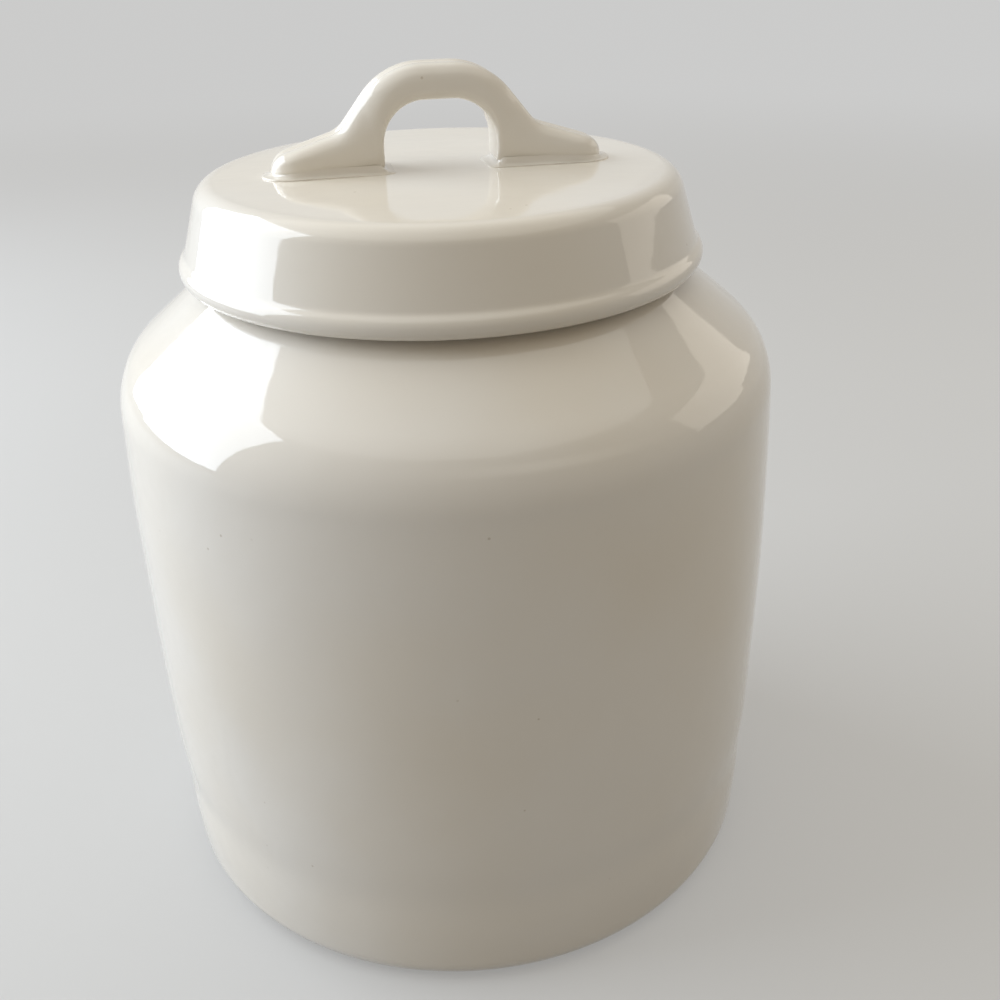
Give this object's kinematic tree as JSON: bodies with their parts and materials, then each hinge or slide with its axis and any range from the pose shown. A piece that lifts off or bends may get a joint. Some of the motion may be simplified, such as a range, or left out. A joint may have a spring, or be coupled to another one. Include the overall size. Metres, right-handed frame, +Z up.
{
  "type": "cookie canister",
  "caption": "Glazed stoneware cookie canister: barrel-sided jar with rounded shoulder and neck collar, loose cap lid with rolled bead, and an arched strap handle to lift it.",
  "frame": {"origin": "centre of the base, in the plane that the foot ring stands on", "axes": "+Z up along the jar's axis, X along the length of the handle"},
  "size_m": [0.178, 0.178, 0.2225],
  "materials": {
    "jar_glaze": "gloss",
    "lid_glaze": "gloss",
    "handle_glaze": "gloss",
    "slip_glaze": "gloss"
  },
  "bodies": {
    "jar": {"jar_body": "jar_glaze"},
    "lid": {"lid_cap": "lid_glaze", "lid_handle": "handle_glaze", "slip_joint_left": "slip_glaze", "slip_joint_right": "slip_glaze"}
  },
  "joints": [
    {"name": "lid_lift", "type": "slide", "parent": "jar", "child": "lid", "axis": [0, 0, 1], "range_m": [0, 0.12]}
  ]
}
